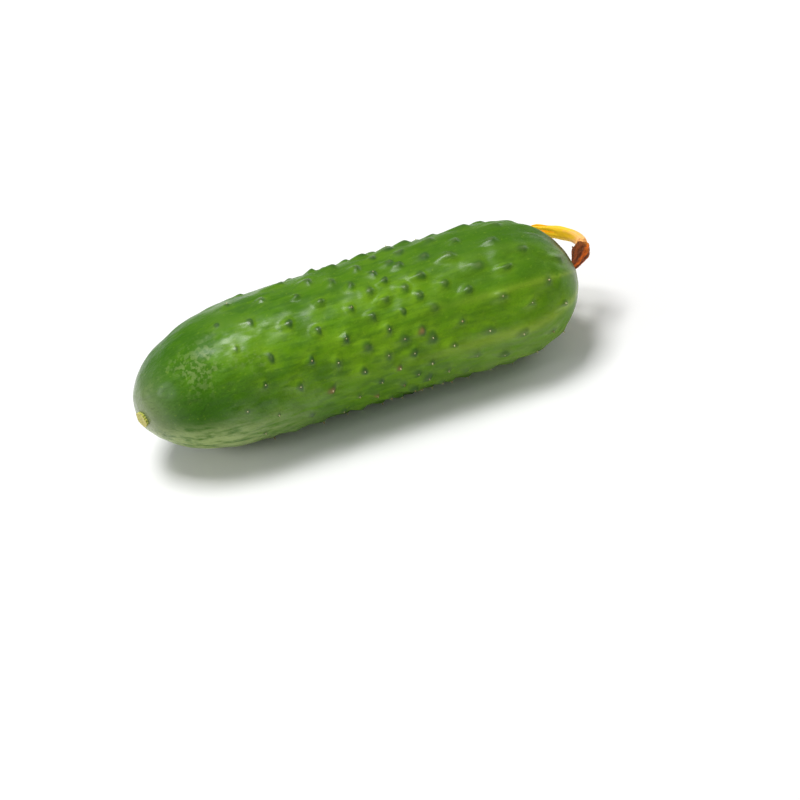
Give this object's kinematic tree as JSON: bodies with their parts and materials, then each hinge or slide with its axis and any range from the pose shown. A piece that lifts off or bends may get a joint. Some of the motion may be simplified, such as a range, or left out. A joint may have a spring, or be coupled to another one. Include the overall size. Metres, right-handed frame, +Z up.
{
  "type": "cucumber",
  "caption": "Short warty pickling cucumber lying on its side, with the stump of its stalk at one end and a withered yellow flower folded back at the other.",
  "frame": {"origin": "centre of the flat spot that the fruit lies on, under the middle of its length", "axes": "+X along the fruit towards the flower, +Z up, the two ends swing slightly towards -Y"},
  "size_m": [0.1218, 0.0391, 0.0367],
  "materials": {
    "fruit_skin": "waxy green skin, half gloss",
    "stalk": "pale green-yellow, fibrous, matt",
    "dried_flower": "dry and brown, matt",
    "petal": "limp yellow petal, matt"
  },
  "bodies": {
    "root": {"fruit": "fruit_skin", "stem_stub": "stalk", "flower_base": "dried_flower", "corolla": "petal"}
  },
  "joints": []
}
